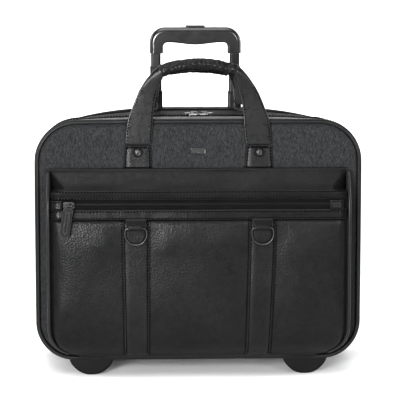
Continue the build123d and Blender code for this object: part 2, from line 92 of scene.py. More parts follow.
BASES_LOW, BASES_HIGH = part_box("front_handle_bases")
HANDLE_X = BASES_HIGH.x - BASE_WIDTH / 2
SEW_TOP = BASES_HIGH.z


# --- camera, light and floor -----------------------------------------------------------------
def make_camera():
    data = bpy.data.cameras.new("camera")
    camera = bpy.data.objects.new("camera", data)
    bpy.context.scene.collection.objects.link(camera)
    data.lens = 195.25
    camera.location = (-0.0918, FRONT_Y - 2.8, 0.6464)
    yaw, pitch = 0.0335, 0.1465
    aim = Vector((math.sin(yaw) * math.cos(pitch), math.cos(yaw) * math.cos(pitch), -math.sin(pitch)))
    camera.rotation_euler = aim.to_track_quat("-Z", "Y").to_euler()
    data.clip_start = 0.01
    data.clip_end = 100
    bpy.context.scene.camera = camera


def area_light(name, place, target, size, power, spread):
    """An oblong light turned to its target; its spread is in degrees."""
    data = bpy.data.lights.new(name, "AREA")
    data.shape = "RECTANGLE"
    data.size, data.size_y = size
    data.energy = power
    data.spread = math.radians(spread)
    light = bpy.data.objects.new(name, data)
    bpy.context.scene.collection.objects.link(light)
    light.location = place
    aim = Vector(target) - Vector(place)
    light.rotation_euler = aim.to_track_quat("-Z", "Y").to_euler()


def make_studio():
    world = bpy.data.worlds.new("studio")
    bpy.context.scene.world = world
    world.use_nodes = True
    background = world.node_tree.nodes["Background"]
    background.inputs["Color"].default_value = (1, 1, 1, 1)
    background.inputs["Strength"].default_value = 0.12
    lights = (
        ("key", (-0.85, -2.5, 0.66), (0, 0, 0.2), (0.7, 0.7), 13.0, 60),
        ("fill", (1.1, -2.4, 0.9), (0, 0, 0.2), (0.5, 0.9), 4.0, 60),
        ("top", (-0.1, 0.35, 1.7), (0, 0, 0.33), (1.2, 0.4), 1.5, 90),
        ("band", (-0.25, -0.55, 1.8), (-0.05, -0.08, 0.26), (0.9, 0.14), 0.55, 60),
        ("edge_left", (-1.5, 0.2, 0.7), (0, 0, 0.3), (0.3, 1.0), 1.6, 60),
        ("edge_right", (1.5, 0.2, 0.7), (0, 0, 0.3), (0.3, 1.0), 1.8, 60),
        ("backdrop", (0, 1.4, 2.4), (0, 5.0, 1.2), (3.0, 1.5), 120.0, 130),
    )
    for name, place, target, size, power, spread in lights:
        area_light(name, place, target, size, power, spread)
    sun = bpy.data.lights.new("sun", "SUN")
    sun.energy = 2.6
    sun.angle = math.radians(60)
    lamp = bpy.data.objects.new("sun", sun)
    bpy.context.scene.collection.objects.link(lamp)
    lamp.rotation_euler = (math.radians(20), 0, math.radians(-14))
    make_floor()
    bpy.context.scene.view_settings.view_transform = "Standard"
    bpy.context.scene.view_settings.gamma = 0.85


def make_floor():
    """A white floor that turns up into a backdrop behind and beside the case."""
    flat, bend, height, sides = 4.0, 2.5, 7.0, 64
    profile = [(1.0, 0.0), (flat, 0.0)]
    for degrees in range(10, 91, 10):
        angle = math.radians(degrees)
        profile.append((flat + bend * math.sin(angle), bend - bend * math.cos(angle)))
    profile.append((flat + bend, height))
    verts = []
    for reach, rise in profile:
        for k in range(sides):
            angle = turn(k, sides)
            lifted = rise * smoothstep((math.sin(angle) + 0.35) / 0.5)
            verts.append((reach * math.cos(angle), reach * math.sin(angle), lifted))
    faces = grid((len(profile), sides), False, True)
    faces.append(list(range(sides)))
    mesh = bpy.data.meshes.new("floor")
    mesh.from_pydata(verts, [], faces)
    floor = bpy.data.objects.new("floor", mesh)
    bpy.context.scene.collection.objects.link(floor)
    material = bpy.data.materials.new("floor")
    material.use_nodes = True
    shader = material.node_tree.nodes["Principled BSDF"]
    shader.inputs["Base Color"].default_value = (0.93, 0.93, 0.93, 1)
    shader.inputs["Roughness"].default_value = 0.9
    shader.inputs["Specular IOR Level"].default_value = 0.1
    mesh.materials.append(material)


# --- materials -------------------------------------------------------------------------------
class Shader:
    """One procedural material: a Principled shader fed by textures in object space."""

    def __init__(self, name, roughness, metallic=0.0, specular=0.5, sheen=0.0):
        self.material = bpy.data.materials.new(name)
        self.material.use_nodes = True
        self.tree = self.material.node_tree
        self.bsdf = self.tree.nodes["Principled BSDF"]
        self.bsdf.inputs["Roughness"].default_value = roughness
        self.bsdf.inputs["Metallic"].default_value = metallic
        self.bsdf.inputs["Specular IOR Level"].default_value = specular
        self.bsdf.inputs["Sheen Weight"].default_value = sheen
        self.bsdf.inputs["Sheen Roughness"].default_value = 0.4
        self.coords = self.tree.nodes.new("ShaderNodeTexCoord")
        self.height = None

    def link(self, source, target):
        self.tree.links.new(source, target)

    def space(self, scale):
        """Object space stretched by scale, in cycles a metre."""
        node = self.tree.nodes.new("ShaderNodeMapping")
        node.inputs["Scale"].default_value = scale
        self.link(self.coords.outputs["Object"], node.inputs["Vector"])
        return node.outputs["Vector"]

    def noise(self, scale, detail=3.0, roughness=0.5):
        node = self.tree.nodes.new("ShaderNodeTexNoise")
        node.inputs["Scale"].default_value = 1.0
        node.inputs["Detail"].default_value = detail
        node.inputs["Roughness"].default_value = roughness
        self.link(self.space(scale), node.inputs["Vector"])
        return node.outputs["Fac"]

    def cells(self, scale):
        node = self.tree.nodes.new("ShaderNodeTexVoronoi")
        node.inputs["Scale"].default_value = 1.0
        self.link(self.space(scale), node.inputs["Vector"])
        return node.outputs["Distance"]

    def edges(self):
        return self.tree.nodes.new("ShaderNodeNewGeometry").outputs["Pointiness"]

    def painted_crevice_shade(self, distance):
        """Painted shade: white in the open, dark in seams and folds, where an ambient occlusion node finds
        other surfaces close by.
        """
        node = self.tree.nodes.new("ShaderNodeAmbientOcclusion")
        node.samples = 6
        node.inputs["Distance"].default_value = distance
        return self.ramp(node.outputs["AO"], [(0.30, grey(0.15)), (0.85, grey(1.0))])

    def bands(self, scale, axis):
        node = self.tree.nodes.new("ShaderNodeTexWave")
        node.bands_direction = axis
        node.inputs["Scale"].default_value = scale
        node.inputs["Distortion"].default_value = 0.6
        self.link(self.coords.outputs["Object"], node.inputs["Vector"])
        return node.outputs["Fac"]

    def mix(self, first, second, factor, blend="MULTIPLY"):
        node = self.tree.nodes.new("ShaderNodeMix")
        node.data_type = "RGBA"
        node.blend_type = blend
        node.inputs["Factor"].default_value = factor
        self.link(first, node.inputs[6])
        self.link(second, node.inputs[7])
        return node.outputs[2]

    def ramp(self, source, stops):
        node = self.tree.nodes.new("ShaderNodeValToRGB")
        ramp = node.color_ramp
        while len(ramp.elements) < len(stops):
            ramp.elements.new(0.5)
        for element, (place, colour) in zip(ramp.elements, stops):
            element.position = place
            element.color = (*colour, 1)
        self.link(source, node.inputs["Fac"])
        return node.outputs["Color"]

    def colour(self, source):
        self.link(source, self.bsdf.inputs["Base Color"])

    def drive(self, socket, source, low, high):
        """Lets a texture move a socket of the shader between two values."""
        node = self.tree.nodes.new("ShaderNodeMapRange")
        node.inputs["To Min"].default_value = low
        node.inputs["To Max"].default_value = high
        self.link(source, node.inputs["Value"])
        self.link(node.outputs["Result"], self.bsdf.inputs[socket])

    def rough(self, source, low, high):
        self.drive("Roughness", source, low, high)

    def shine(self, source, low, high):
        self.drive("Specular IOR Level", source, low, high)

    def bump(self, source, depth, strength=1.0):
        node = self.tree.nodes.new("ShaderNodeBump")
        node.inputs["Strength"].default_value = strength
        node.inputs["Distance"].default_value = depth
        self.link(source, node.inputs["Height"])
        if self.height is not None:
            self.link(self.height, node.inputs["Normal"])
        self.height = node.outputs["Normal"]
        self.link(self.height, self.bsdf.inputs["Normal"])


def grey(value, tint=(1.0, 1.0, 1.0)):
    return tuple(value * part for part in tint)


def leather(name, value, roughness=0.40, grain=0.0004, specular=0.32, pore=0.6, crumple=0.0018):
    s = Shader(name, roughness, specular=specular)
    blotch = s.noise((16, 16, 16), 4)
    cool = (0.97, 0.99, 1.03)
    base = s.ramp(blotch, [(0.3, grey(value * 0.7, cool)), (0.7, grey(value * 1.35, cool))])
    pores = s.ramp(s.cells((360, 360, 360)), [(0.15, grey(pore)), (0.6, grey(1.0))])
    creases = s.ramp(s.noise((130, 130, 130), 5, 0.65), [(0.36, grey(0.72)), (0.62, grey(1.12))])
    rubbed = s.ramp(s.edges(), [(0.50, grey(0.0)), (0.62, grey(0.016))])
    toned = s.mix(s.mix(base, pores, 0.9), creases, 0.9)
    # painted shade: an ambient occlusion ramp darkens the colour and lowers the shine in seams, folds and
    # under parts
    painted_seam_shade = s.painted_crevice_shade(6.5 * MM)
    s.colour(s.mix(s.mix(toned, rubbed, 1.0, "ADD"), painted_seam_shade, 1.0))
    s.shine(painted_seam_shade, 0.03 * specular, 1.1 * specular)
    s.rough(s.noise((140, 140, 140), 3), roughness - 0.10, roughness + 0.16)
    s.bump(s.cells((480, 480, 480)), grain * 0.6, 0.8)
    s.bump(s.noise((260, 260, 260), 4, 0.6), 0.00024, 0.6)
    s.bump(s.noise((28, 28, 20), 2), crumple, 0.45)
    return s.material


def tweed(name, dark, light):
    """Vertical heathered yarns with pale flecks over a fine plain weave."""
    s = Shader(name, 0.92, specular=0.10, sheen=0.04)
    yarn = s.ramp(s.noise((760, 760, 230), 3), [(0.34, dark), (0.66, light)])
    cross = s.ramp(s.noise((600, 600, 760), 2), [(0.35, grey(0.55)), (0.68, grey(1.0))])
    fleck = s.ramp(s.noise((900, 900, 450), 1), [(0.64, grey(0.0)), (0.78, grey(0.04))])
    woven = s.mix(yarn, cross, 0.8)
    # painted shade: an ambient occlusion ramp darkens the weave's colour by half in seams and folds
    s.colour(s.mix(s.mix(woven, fleck, 1.0, "ADD"), s.painted_crevice_shade(2 * MM), 0.5))
    s.bump(s.bands(330, "X"), 0.0002, 0.5)
    s.bump(s.bands(330, "Z"), 0.0002, 0.5)
    s.bump(s.noise((600, 600, 250), 2), 0.0003, 0.6)
    return s.material


def nylon(name, value, pitch=420, sheen=0.25, specular=0.3):
    s = Shader(name, 0.62, specular=specular, sheen=sheen)
    tint = (1.0, 1.0, 1.02)
    blotch = s.noise((40, 40, 40), 3)
    s.colour(s.ramp(blotch, [(0.3, grey(value * 0.8, tint)), (0.7, grey(value * 1.25, tint))]))
    s.rough(s.noise((90, 90, 90), 3), 0.54, 0.70)
    s.bump(s.bands(pitch, "DIAGONAL"), 0.00018, 0.5)
    s.bump(s.bands(pitch * 0.9, "Y"), 0.00018, 0.5)
    s.bump(s.noise((35, 35, 35), 3), 0.001, 0.3)
    return s.material


def plastic(name, value, roughness=0.45, texture=0.0001, specular=0.4):
    s = Shader(name, roughness, specular=specular)
    base = s.ramp(s.noise((25, 25, 25), 3), [(0.3, grey(value * 0.85)), (0.7, grey(value * 1.15))])
    s.colour(base)
    s.rough(s.noise((120, 120, 120), 4), roughness - 0.06, roughness + 0.08)
    s.bump(s.noise((1400, 1400, 1400), 2), texture, 0.5)
    return s.material


def metal(name, value, roughness, tint=(1.0, 1.0, 1.0), brushed=(300, 300, 300)):
    s = Shader(name, roughness, metallic=1.0)
    dark, light = grey(value * 0.85, tint), grey(value * 1.1, tint)
    s.colour(s.ramp(s.noise((80, 80, 80), 3), [(0.3, dark), (0.7, light)]))
    s.rough(s.noise(brushed, 3), roughness - 0.06, roughness + 0.1)
    s.bump(s.noise(brushed, 2), 0.00003, 0.4)
    return s.material


LEATHER = leather("leather_black", 0.0065, 0.32, specular=0.14, crumple=0.0022)
LEATHER_HANDLE = leather("leather_handle", 0.0070, 0.27, 0.0002, specular=0.28, crumple=0.0022)
LEATHER_GRIP = leather("leather_grip", 0.005, 0.30, 0.0002, 0.13, 0.7, 0.0008)
LEATHER_SMOOTH = leather("leather_band", 0.0038, 0.30, 0.00018, 0.125, 0.6, 0.0030)
LEATHER_MATTE = leather("leather_matte", 0.006, 0.62, 0.00025, 0.02, 0.7)
LEATHER_PIPING = leather("leather_piping", 0.006, 0.30, 0.00012, 0.20, 0.8, 0.0004)
TWEED = tweed("tweed_charcoal", (0.019, 0.0195, 0.0205), (0.043, 0.044, 0.046))
NYLON = nylon("nylon_gusset", 0.050, sheen=0.12)
NYLON_DARK = nylon("nylon_dark", 0.012, sheen=0.02, specular=0.06)
LINING = nylon("lining_grey", 0.075, 600)
TAPE = nylon("zipper_tape", 0.006, 700, sheen=0.0, specular=0.03)
COIL = plastic("zipper_coil", 0.004, 0.4, specular=0.08)
THREAD = nylon("thread_black", 0.0015, 1500, sheen=0.0, specular=0.0)
MOULDED = plastic("moulded_black", 0.007, 0.5, 0.00015, 0.10)
GRIP_PLASTIC = plastic("grip_black", 0.011, 0.20, 0.00003, 0.60)
BUSH = plastic("bush_black", 0.005, 0.5, specular=0.2)
TUBE = metal("tube_anodised", 0.035, 0.30, (1.0, 1.0, 1.03), (900, 900, 12))
GUNMETAL = metal("gunmetal", 0.055, 0.30)
NICKEL = metal("nickel", 0.22, 0.20, (1.0, 0.98, 0.96))
STEEL = metal("steel", 0.45, 0.32)
RUBBER = plastic("tyre_rubber", 0.010, 0.62, 0.0003, 0.2)
HUB = plastic("hub_grey", 0.04, 0.45)
BOARD = plastic("board_black", 0.010, 0.6, 0.0002, 0.2)


# --- mesh helpers ----------------------------------------------------------------------------
def add_mesh(name, verts, faces, material, body, replaces=()):
    """A smooth-shaded piece. It rides on a body, unless that is None, and may stand for CAD nodes."""
    mesh = bpy.data.meshes.new(name)
    mesh.from_pydata([tuple(v) for v in verts], [], faces)
    mesh.validate()
    piece = bpy.data.objects.new(name, mesh)
    bpy.context.scene.collection.objects.link(piece)
    mesh.materials.append(material)
    for polygon in mesh.polygons:
        polygon.use_smooth = True
    recalculate(piece)
    if body:
        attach(piece, body)
    if replaces:
        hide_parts(*replaces)
    return piece


def recalculate(piece):
    """Turns every face outwards."""
    work = bmesh.new()
    work.from_mesh(piece.data)
    bmesh.ops.recalc_face_normals(work, faces=work.faces)
    work.to_mesh(piece.data)
    work.free()


def delete_faces(piece, gone):
    """Takes away the faces whose middle passes the test."""
    work = bmesh.new()
    work.from_mesh(piece.data)
    faces = [face for face in work.faces if gone(face.calc_center_median())]
    bmesh.ops.delete(work, geom=faces, context="FACES")
    work.to_mesh(piece.data)
    work.free()


def grid(rows, wrap_rows, wrap_cols, start=0):
    """Faces of a grid of points, given as (rows, columns) counts."""
    count, width = rows
    faces = []
    for i in range(count if wrap_rows else count - 1):
        for j in range(width if wrap_cols else width - 1):
            a = i * width + j
            b = i * width + (j + 1) % width
            c = ((i + 1) % count) * width + (j + 1) % width
            d = ((i + 1) % count) * width + j
            faces.append((start + a, start + b, start + c, start + d))
    return faces


def capped_grid(rows, sides, start=0):
    """Faces of a tube of points with a cap at each end."""
    last = start + (rows - 1) * sides
    faces = grid((rows, sides), False, True, start)
    faces.append([start + k for k in range(sides)])
    faces.append([last + k for k in range(sides)][::-1])
    return faces


def capped_strip(rows, width):
    """Faces of a closed section of so many points, carried along a path, with a cap at each end."""
    faces = grid((rows, width), True, False)
    faces.append([i * width for i in range(rows)])
    faces.append([i * width + width - 1 for i in range(rows)][::-1])
    return faces


def closed_sheet(count, nx, nz):
    """Faces of two matching grids of count points each, joined round their rims."""
    width = nx + 1
    faces = grid((nz + 1, width), False, False)
    faces += [tuple(count + k for k in face[::-1]) for face in faces]
    rim = list(range(width))
    rim += [j * width + nx for j in range(1, nz + 1)]
    rim += [nz * width + i for i in range(nx - 1, -1, -1)]
    rim += [j * width for j in range(nz - 1, 0, -1)]
    for a, b in zip(rim, rim[1:] + rim[:1]):
        faces.append((a, b, count + b, count + a))
    return faces


def smoothstep(t):
    t = min(1.0, max(0.0, t))
    return t * t * (3 - 2 * t)


def between(low, high, t):
    return low + (high - low) * t


def turn(k, sides):
    return 2 * math.pi * k / sides


def squared(angle, across, high):
    """The unit circle's point at an angle; powers under 1 draw it out towards a square."""
    c, s = math.cos(angle), math.sin(angle)
    return math.copysign(abs(c) ** across, c), math.copysign(abs(s) ** high, s)


def tree_of(piece):
    mesh = piece.data
    return BVHTree.FromPolygons([v.co for v in mesh.vertices], [p.vertices[:] for p in mesh.polygons])


def subdivide(piece):
    modifier = piece.modifiers.new("smooth", "SUBSURF")
    modifier.levels = 1
    modifier.render_levels = 1
    apply_modifiers(piece)


def apply_modifiers(piece):
    """Keeps the piece's shape as its modifiers leave it."""
    depsgraph = bpy.context.evaluated_depsgraph_get()
    evaluated = piece.evaluated_get(depsgraph)
    mesh = bpy.data.meshes.new_from_object(evaluated)
    piece.modifiers.clear()
    piece.data = mesh
    for polygon in mesh.polygons:
        polygon.use_smooth = True


def inflate(piece, pressure, cap, held, frames=20):
    """Cloth simulation of a closed pad: held(index, co) says which points stay where they are."""
    rest = [v.co.copy() for v in piece.data.vertices]
    group = piece.vertex_groups.new(name="held")
    group.add([i for i, co in enumerate(rest) if held(i, co)], 1.0, "REPLACE")
    cloth = piece.modifiers.new("cloth", "CLOTH")
    cloth.settings.quality = 6
    cloth.settings.mass = 0.25
    cloth.settings.tension_stiffness = 12
    cloth.settings.bending_stiffness = 0.6
    cloth.settings.use_pressure = True
    cloth.settings.uniform_pressure_force = pressure
    cloth.settings.effector_weights.gravity = 0
    cloth.settings.vertex_group_mass = "held"
    scene = bpy.context.scene
    for frame_number in range(1, frames + 1):
        scene.frame_set(frame_number)
    apply_modifiers(piece)
    for vertex, start in zip(piece.data.vertices, rest):
        move = vertex.co - start
        if move.length > cap:
            vertex.co = start + move.normalized() * cap
    piece.vertex_groups.clear()
    scene.frame_set(1)
    subdivide(piece)


# --- the case's outline, and rings and panels that follow it ---------------------------------
def crown_at(y):
    share = (y - FRONT_Y) / (REAR_Y - FRONT_Y)
    return between(CROWN_FRONT, CROWN_REAR, share)


def arc_points(centre, radius, start, end, count, y):
    points = []
    for i in range(count):
        angle = math.radians(between(start, end, i / count))
        points.append(Vector((centre[0] + radius * math.cos(angle), y, centre[1] + radius * math.sin(angle))))
    return points


def line_points(a, b, count, y):
    return [Vector((between(a[0], b[0], i / count), y, between(a[1], b[1], i / count))) for i in range(count)]


def outline(y, inset=0.0):
    """The case's closed outline at a depth, from the bottom's middle round to the right."""
    half = HALF - inset
    low = BOTTOM + inset
    high = TOP - inset
    drop = crown_at(y)
    shoulder = high - drop
    top_r = TOP_RADIUS - inset
    bottom_r = BOTTOM_RADIUS - inset
    top_x = half - top_r
    bottom_x = half - bottom_r
    points = line_points((0, low), (bottom_x, low), 20, y)
    points += arc_points((bottom_x, low + bottom_r), bottom_r, -90, 0, 16, y)
    points += line_points((half, low + bottom_r), (half, shoulder - top_r), 30, y)
    points += arc_points((top_x, shoulder - top_r), top_r, 0, 90, 18, y)
    for i in range(48):
        x = between(top_x, -top_x, i / 48)
        points.append(Vector((x, y, high - drop * abs(x / top_x) ** 3)))
    points += arc_points((-top_x, shoulder - top_r), top_r, 90, 180, 18, y)
    points += line_points((-half, shoulder - top_r), (-half, low + bottom_r), 30, y)
    points += arc_points((-bottom_x, low + bottom_r), bottom_r, 180, 270, 16, y)
    points += line_points((-bottom_x, low), (0, low), 20, y)
    return points


def above(z):
    return z > OPENING_Z


def wall_section(y0, y1, thickness, bulge, steps=10):
    """A soft wall between two depths: a bulging outside, a flat inside and rounded ends."""
    lip = 0.6 * MM
    outer = []
    for i in range(steps + 1):
        t = i / steps
        edge = min(t, 1 - t) * 2
        outer.append((between(y0, y1, t), bulge * math.sin(math.pi * t) - lip * (1 - smoothstep(edge * 6))))
    return outer + [(between(y1, y0, i / 4), -thickness) for i in range(5)]


def round_section(y, out, radius):
    sides = 12
    return [
        (y + radius * math.cos(turn(i, sides)), out + radius * math.sin(turn(i, sides)))
        for i in range(sides)
    ]


def ring_piece(name, section, material, body, replaces=(), keep=None, ripple=0.0):
    """A closed section of (depth, outward) pairs carried round the outline.
    keep takes the height of a point and says whether the ring has it."""
    rows = []
    for y, out in section:
        rows.append([p for p in outline(y, -out) if keep is None or keep(p.z)])
    width = min(len(row) for row in rows)
    verts = [p for row in rows for p in row[:width]]
    if ripple:
        for p in verts:
            wave = noise.noise(Vector((p.x * 18, p.y * 25, p.z * 18)))
            p += Vector((p.x, 0, p.z - MIDDLE_Z)).normalized() * wave * ripple
    faces = grid((len(rows), width), True, True) if keep is None else capped_strip(len(rows), width)
    return add_mesh(name, verts, faces, material, body, replaces)


def disc_piece(name, y_front, y_back, inset, bulge, material, body, replaces=()):
    """A padded panel filling the outline: crowned and turned in at its rim on the first side, flat behind."""
    rings = 14
    rim = outline(y_front, inset)
    sign = -1 if y_front < y_back else 1
    verts = []
    for back, y_face in enumerate((y_front, y_back)):
        for ring in range(rings):
            share = (rings - ring if back else ring + 1) / rings
            reach = 1 - (1 - share) ** 2.2
            turned = 2.2 * MM * (1 - smoothstep((1 - reach) * 160 * MM / (5 * MM)))
            lift = 0.0 if back else sign * (bulge * (1 - reach ** 6) - turned)
            verts += [Vector((p.x * reach, y_face + lift, between(MIDDLE_Z, p.z, reach))) for p in rim]
    return add_mesh(name, verts, capped_grid(2 * rings, len(rim)), material, body, replaces)


# --- tubes, ribbons and stitches -------------------------------------------------------------
def tangents_along(points, closed):
    count = len(points)
    tangents = []
    for i in range(count):
        before = points[i - 1] if closed or i else points[i]
        after = points[(i + 1) % count] if closed or i < count - 1 else points[i]
        tangents.append((after - before).normalized())
    return tangents


def tube_piece(name, points, radius, material, body, closed=False):
    """A round tube along a polyline."""
    sides = 10
    up = Vector((0, 1, 0))
    verts = []
    for point, tangent in zip(points, tangents_along(points, closed)):
        side = tangent.cross(up).normalized()
        top = side.cross(tangent).normalized()
        for k in range(sides):
            verts.append(point + (side * math.cos(turn(k, sides)) + top * math.sin(turn(k, sides))) * radius)
    faces = grid((len(points), sides), True, True) if closed else capped_grid(len(points), sides)
    return add_mesh(name, verts, faces, material, body)


def on_front(tree, x, z, lift, fallback):
    """The frontmost point of a surface at (x, z), or of the fallback depth, lifted to the front."""
    hit = tree.ray_cast(Vector((x, -0.3, z)), Vector((0, 1, 0)))[0] if tree else None
    return Vector((x, (fallback if hit is None else hit.y) - lift, z))


def ribbon_piece(name, centre, halves, thickness, tree, body, material, fallback, replaces=()):
    """A flat strap laid on a surface: centre is a list of (x, z), with its edges turned down."""
    across = 9
    rows = []
    for (x, z), half in zip(centre, halves):
        top = []
        back = []
        for k in range(across):
            t = between(-1, 1, k / (across - 1))
            edge = 1 - abs(t) ** 8
            rim = 0.25 * thickness * math.exp(-((abs(t) - 0.86) / 0.08) ** 2)
            lift = thickness * (0.35 + 0.65 * edge) + rim
            surface = on_front(tree, x + t * half, z, 0, fallback)
            top.append(surface + Vector((0, -lift, 0)))
            back.append(surface + Vector((0, 0.3 * MM, 0)))
        rows.append(top + back[::-1])
    verts = [p for row in rows for p in row]
    faces = capped_grid(len(rows), 2 * across)
    return add_mesh(name, verts, faces, material, body, replaces)


def resample(points, pitch):
    """Points evenly spaced along a polyline, with the direction at each."""
    result = []
    carried = 0.0
    for a, b in zip(points, points[1:]):
        length = (b - a).length
        if length < 1e-9:
            continue
        direction = (b - a) / length
        at = carried
        while at < length:
            result.append((a + direction * at, direction))
            at += pitch
        carried = at - length
    return result


def stitch_runs(name, runs, body, pitch=4.0 * MM, length=2.7 * MM, radius=0.62 * MM):
    """Rows of short threads, each sunk at its ends; a run is a line and its outward direction."""
    profile = ((0, 0.35, -0.6), (0.2, 0.9, 0.2), (0.5, 1.0, 0.5), (0.8, 0.9, 0.2), (1, 0.35, -0.6))
    verts = []
    faces = []
    for line, outward in runs:
        for point, direction in resample(line, pitch):
            start = len(verts)
            side = direction.cross(outward).normalized()
            top = side.cross(direction).normalized()
            if top.dot(outward) < 0:
                top = -top
            for share, size, lift in profile:
                middle = point + direction * length * (share - 0.5) + top * radius * lift
                for k in range(6):
                    around = side * math.cos(turn(k, 6)) + top * math.sin(turn(k, 6))
                    verts.append(middle + around * radius * size)
            faces += capped_grid(len(profile), 6, start)
    return add_mesh(name, verts, faces, THREAD, body)


def stitch_piece(name, lines, body, outward=FORWARD, pitch=4.0 * MM, length=2.7 * MM, radius=0.62 * MM):
    return stitch_runs(name, [(line, outward) for line in lines], body, pitch, length, radius)


def outline_stitches(name, y, out, body):
    """A row of stitches round the top and sides, on the outside of a gusset."""
    path = [p for p in outline(y, -out) if above(p.z)]
    runs = []
    for i in range(0, len(path) - 1, 11):
        line = path[i:i + 12]
        outward = line[len(line) // 2] - Vector((0, y, MIDDLE_Z))
        outward.y = 0
        runs.append((line, outward.normalized()))
    stitch_runs(name, runs, body)


# --- front section: panel, gusset, piping, zipper --------------------------------------------
def teeth(name, y, side, body):
    """One row of coil turns along the opening, as small rounded blocks."""
    profile = ((-1.4, -0.6), (-1.2, 0.5), (0.9, 0.7), (1.5, 0.0), (0.9, -0.7))
    path = [p for p in outline(y, 0.2 * MM) if above(p.z)]
    centre = Vector((0, y, MIDDLE_Z))
    depth = Vector((0, side, 0))
    verts = []
    faces = []
    for point, direction in resample(path, 2.3 * MM):
        out = Vector((direction.z, 0, -direction.x))
        if out.dot(point - centre) < 0:
            out = -out
        start = len(verts)
        for along in (-0.6, 0.6):
            for reach, lift in profile:
                verts.append(point + direction * along * MM + depth * reach * MM + out * lift * MM)
        faces += capped_grid(2, len(profile), start)
    return add_mesh(name, verts, faces, COIL, body)


def make_front_shell():
    def piping(name, y, out):
        ring_piece(name, round_section(y, out, 1.8 * MM), LEATHER_PIPING, "front_section")

    disc_piece("tweed_front_panel", FRONT_Y + 0.6 * MM, PANEL_HIGH.y, 5.4 * MM, 0.9 * MM, TWEED,
               "front_section", ["front_panel"])
    piping("front_piping", FRONT_Y + 0.9 * MM, -3.2 * MM)
    gusset = wall_section(GUSSET_LOW.y + 0.5 * MM, GUSSET_HIGH.y, CLOTH, 0.5 * MM)
    ring_piece("front_gusset_cloth", gusset, NYLON, "front_section",
               ["front_gusset"], above, 0.2 * MM)
    piping("front_piping_second", FRONT_Y + 4.0 * MM, -0.9 * MM)
    tape = wall_section(ZIP_FRONT_LOW.y, ZIP_FRONT_HIGH.y - 1.6 * MM, 1.6 * MM, -0.4 * MM, 4)
    ring_piece("main_zip_tape_front", tape, TAPE, "front_section", ["main_zip_front"], above)
    teeth("main_zip_teeth_front", ZIP_FRONT_HIGH.y - 1.2 * MM, 1, "front_section")
    outline_stitches("front_gusset_stitching", GUSSET_HIGH.y - 1.4 * MM, 0.6 * MM, "front_section")


# --- case: gussets and rear cover ------------------------------------------------------------
def clear_of_housings(piece):
    """Opens a piece where the wheel housings stand."""
    low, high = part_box("wheel_housing_right")
    delete_faces(piece, lambda c: abs(c.x) > low.x + MM and c.z < high.z - MM and c.y > low.y + MM)


def rear_seams():
    """The seams that hold the back cover down either side of the trolley's tubes."""
    y = REAR_HIGH.y + 0.35 * MM
    lines = []
    for x in (-84 * MM, -80 * MM, 80 * MM, 84 * MM):
        lines.append([Vector((x, y, between(60 * MM, 318 * MM, i / 20))) for i in range(21)])
    for z in (84 * MM, 88 * MM):
        lines.append([Vector((between(-80 * MM, 80 * MM, i / 20), y, z)) for i in range(21)])
    stitch_piece("rear_cover_stitching", lines, "case", -FORWARD)


def make_case():
    tub = wall_section(ZIP_REAR_HIGH.y, BOARD_FRONT, CLOTH, 0.4 * MM, 24)
    clear_of_housings(ring_piece("case_gusset_cloth", tub, NYLON_DARK, "case",
                                 ["case_gusset"], None, 0.5 * MM))
    outline_stitches("case_gusset_stitching", ZIP_REAR_HIGH.y + 1.4 * MM, 0.3 * MM, "case")
    chin = wall_section(CHIN_Y, ZIP_REAR_HIGH.y, CLOTH, 0.4 * MM, 10)
    low_part = ring_piece("case_chin", chin, NYLON_DARK, "case")
    delete_faces(low_part, lambda c: c.z > OPENING_Z - 2 * MM)
    tape = wall_section(ZIP_REAR_LOW.y + 1.6 * MM, ZIP_REAR_HIGH.y, 1.6 * MM, -0.4 * MM, 4)
    ring_piece("main_zip_tape_rear", tape, TAPE, "case", ["main_zip_rear"], above)
    teeth("main_zip_teeth_rear", ZIP_REAR_LOW.y + 1.2 * MM, -1, "case")
    sleeve = wall_section(BOARD_FRONT, REAR_LOW.y + 1 * MM, CLOTH, 1.6 * MM, 12)
    clear_of_housings(ring_piece("trolley_sleeve_gusset", sleeve, LEATHER_MATTE, "case",
                                 ["rear_gusset"]))
    for name, y in (("sleeve_piping", BOARD_FRONT + 0.2 * MM), ("rear_piping", REAR_LOW.y + 1.0 * MM)):
        section = round_section(y, -0.8 * MM, 2.2 * MM)
        clear_of_housings(ring_piece(name, section, LEATHER_MATTE, "case"))
    clear_of_housings(disc_piece("rear_cover_pad", REAR_HIGH.y - 0.5 * MM, REAR_LOW.y + 0.5 * MM, 3.0 * MM,
                                 0.8 * MM, NYLON_DARK, "case", ["rear_cover"]))
    rear_seams()


# --- pocket: its front surface ---------------------------------------------------------------
PROFILE = [
    (POCKET_BOTTOM, -66 * MM), (37 * MM, -80 * MM), (55 * MM, -90 * MM), (90 * MM, POCKET_FRONT),
    (190 * MM, POCKET_FRONT), (211 * MM, -93.5 * MM), (SLOT_LOW.z, -92 * MM), (SLOT_HIGH.z, -90 * MM),
    (249 * MM, -84 * MM), (262 * MM, -75 * MM), (POCKET_TOP, -63.5 * MM),
]


def profile_depth(z):
    """The pocket's front at this height, from its side profile."""
    if z <= PROFILE[0][0]:
        return PROFILE[0][1]
    for (z0, y0), (z1, y1) in zip(PROFILE, PROFILE[1:]):
        if z <= z1:
            return between(y0, y1, (z - z0) / (z1 - z0))
    return PROFILE[-1][1]


def soft_profile(z):
    """The profile with its corners softened."""
    return sum(profile_depth(z + step * 3 * MM) for step in (-2, -1, 0, 1, 2)) / 5


def bay(x):
    """0 on the two vertical straps, 1 in the leather between them."""
    return smoothstep((abs(abs(x) - STRAP_X) - 16 * MM) / (26 * MM))


